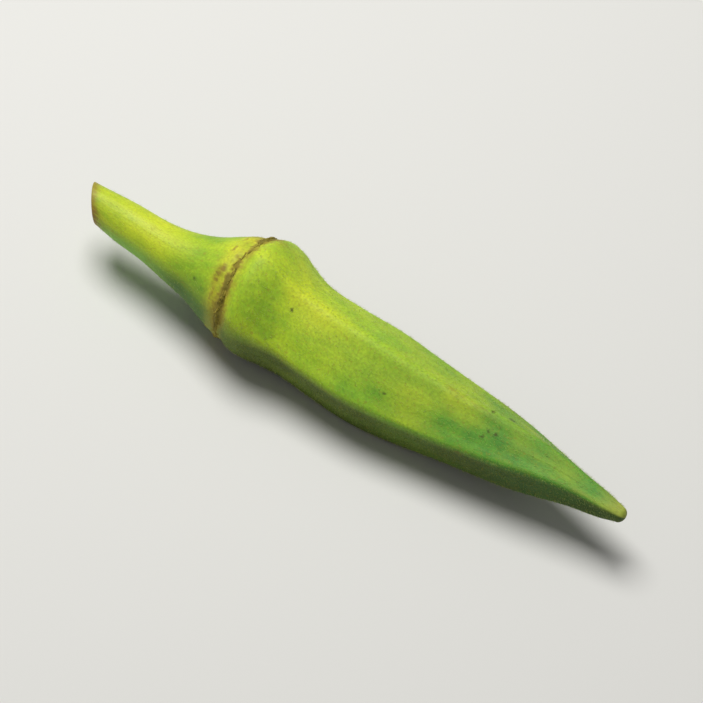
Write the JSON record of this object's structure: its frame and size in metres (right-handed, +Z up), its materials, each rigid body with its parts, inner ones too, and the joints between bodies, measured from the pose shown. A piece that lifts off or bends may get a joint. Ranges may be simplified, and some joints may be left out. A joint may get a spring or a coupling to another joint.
{
  "type": "okra pod",
  "caption": "Fresh okra pod as cut: a short flared stalk, a ring-shaped calyx scar and a ribbed green pod narrowing to a blunt tip.",
  "frame": {"origin": "under the middle of the pod, on the surface it lies on", "axes": "+X from the cut stalk to the tip, +Z up, -Y the side that the stalk leans towards"},
  "size_m": [0.113, 0.0218, 0.0217],
  "materials": {
    "okra_skin": "yellow-green plant skin with a soft sheen, paler on the stalk, brown along the torn calyx scar and the cut"
  },
  "bodies": {
    "root": {"okra_pod": "okra_skin"}
  },
  "joints": []
}
